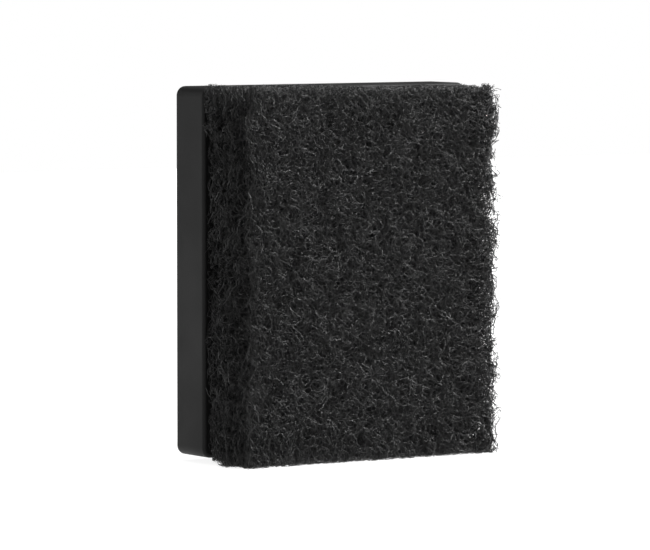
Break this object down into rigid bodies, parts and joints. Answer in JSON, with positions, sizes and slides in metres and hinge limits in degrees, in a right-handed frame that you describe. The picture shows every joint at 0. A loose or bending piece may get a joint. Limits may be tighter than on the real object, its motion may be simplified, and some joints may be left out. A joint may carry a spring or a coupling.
{
  "type": "chalkboard eraser",
  "caption": "Hand-held chalkboard eraser: a shallow moulded grip block with a thick non-woven fibre pad held on hook tape, and magnets inside that park it on a steel board.",
  "frame": {"origin": "middle of the short end that the eraser stands on", "axes": "+Z along the long side, +Y out of the grip block's back face, the pad's working face looks along -Y, +X to the right seen from the pad side"},
  "size_m": [0.086, 0.033, 0.1],
  "materials": {
    "grip_plastic": "fine matte moulded texture, black",
    "plate_plastic": "matte moulded, black",
    "screw_steel": "zinc plated",
    "magnet_ferrite": "ground sintered ferrite",
    "adhesive": "pressure-sensitive acrylic film",
    "hook_tape": "woven nylon tape with hooks, black",
    "pad_fibre": "coarse resin-bonded non-woven fibre, black",
    "pad_bond": "hot-melt adhesive web, black"
  },
  "bodies": {
    "holder": {"grip_shell": "grip_plastic", "pad_plate": "plate_plastic", "plate_screws": "screw_steel", "magnet_lower_left": "magnet_ferrite", "magnet_lower_right": "magnet_ferrite", "magnet_upper_left": "magnet_ferrite", "magnet_upper_right": "magnet_ferrite", "adhesive_left": "adhesive", "adhesive_middle": "adhesive", "adhesive_right": "adhesive", "hook_strip_left": "hook_tape", "hook_strip_middle": "hook_tape", "hook_strip_right": "hook_tape"},
    "pad": {"pad_rear_web": "pad_fibre", "pad_bond": "pad_bond", "pad_front_web": "pad_fibre"}
  },
  "joints": [
    {"name": "pad_pull", "type": "slide", "parent": "holder", "child": "pad", "axis": [0, -1, 0], "range_m": [0, 0.04]}
  ]
}
